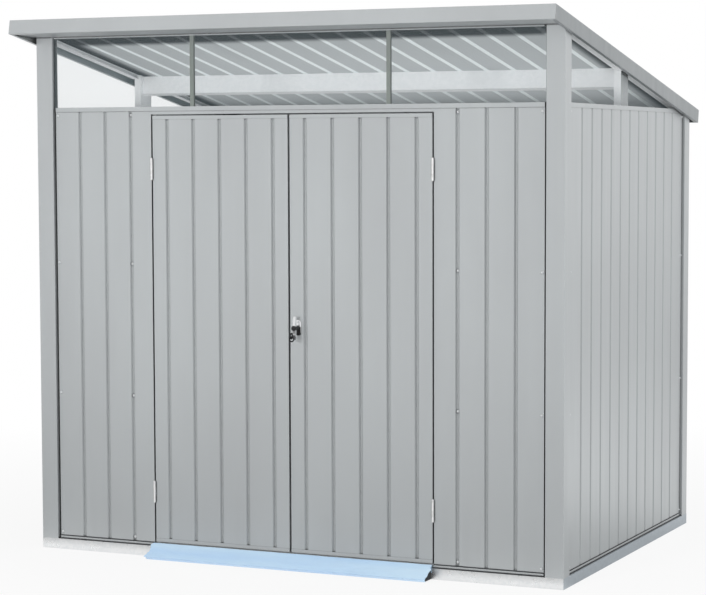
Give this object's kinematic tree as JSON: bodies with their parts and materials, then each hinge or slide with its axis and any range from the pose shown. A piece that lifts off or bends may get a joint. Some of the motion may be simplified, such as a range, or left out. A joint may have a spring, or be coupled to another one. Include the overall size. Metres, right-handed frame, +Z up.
{
  "type": "metal storage shed",
  "caption": "Silver ribbed-steel garden shed with a pent roof falling to the rear, hinged double doors, a turning latch and a clear glazed strip under the roof.",
  "frame": {"origin": "on the ground, under the middle of the roof's outline", "axes": "+X to the right along the front, +Y from the front to the rear, +Z up"},
  "size_m": [2.432, 1.9612, 2.2646],
  "materials": {
    "wall_paint": "satin metallic",
    "trim_paint": "satin metallic",
    "roof_paint": "satin metallic",
    "frame_zinc": "galvanised",
    "base_zinc": "galvanised",
    "ramp_film": "steel plate under pale blue protective film",
    "hinge_steel": "zinc plated",
    "clear_pane": "clear and glossy",
    "glazing_bar": "satin",
    "latch_chrome": "polished",
    "latch_steel": "satin"
  },
  "bodies": {
    "shed": {"front_left_wall": "wall_paint", "front_right_wall": "wall_paint", "rear_wall": "wall_paint", "left_wall": "wall_paint", "right_wall": "wall_paint", "front_left_post": "trim_paint", "front_right_post": "trim_paint", "rear_left_post": "trim_paint", "rear_right_post": "trim_paint", "front_sill_rail": "trim_paint", "side_top_rails": "trim_paint", "rear_top_rail": "trim_paint", "door_header": "trim_paint", "front_head_rail": "trim_paint", "front_fascia": "trim_paint", "rear_fascia": "trim_paint", "left_fascia": "trim_paint", "right_fascia": "trim_paint", "front_soffit": "trim_paint", "wall_tracks": "trim_paint", "roof_left_sheet": "roof_paint", "roof_middle_sheet": "roof_paint", "roof_right_sheet": "roof_paint", "mid_posts": "frame_zinc", "mid_beam": "frame_zinc", "rafters": "frame_zinc", "door_jambs": "frame_zinc", "base_rail_front": "base_zinc", "base_rail_rear": "base_zinc", "base_rail_left": "base_zinc", "base_rail_right": "base_zinc", "door_ramp": "ramp_film", "frame_hinges": "hinge_steel", "front_panes": "clear_pane", "side_panes": "clear_pane", "glazing_bars": "glazing_bar"},
    "left_door": {"left_door_leaf": "wall_paint", "left_door_rails": "wall_paint", "left_door_hinges": "hinge_steel"},
    "right_door": {"right_door_leaf": "wall_paint", "right_door_rails": "wall_paint", "right_door_hinges": "hinge_steel", "latch_plate": "latch_chrome"},
    "latch": {"latch_lever": "latch_chrome", "latch_spindle": "latch_chrome", "latch_cam": "latch_steel", "latch_key": "latch_steel"}
  },
  "joints": [
    {"name": "left_door_swing", "type": "hinge", "parent": "shed", "child": "left_door", "pos_m": [-0.639, -0.79548, 0.958], "axis": [0, 0, -1], "range_deg": [0, 160]},
    {"name": "right_door_swing", "type": "hinge", "parent": "shed", "child": "right_door", "pos_m": [0.639, -0.79548, 0.958], "axis": [0, 0, 1], "range_deg": [0, 160]},
    {"name": "latch_turn", "type": "hinge", "parent": "right_door", "child": "latch", "pos_m": [0.0395, -0.78998, 0.993], "axis": [0, 1, 0], "range_deg": [0, 90]}
  ]
}
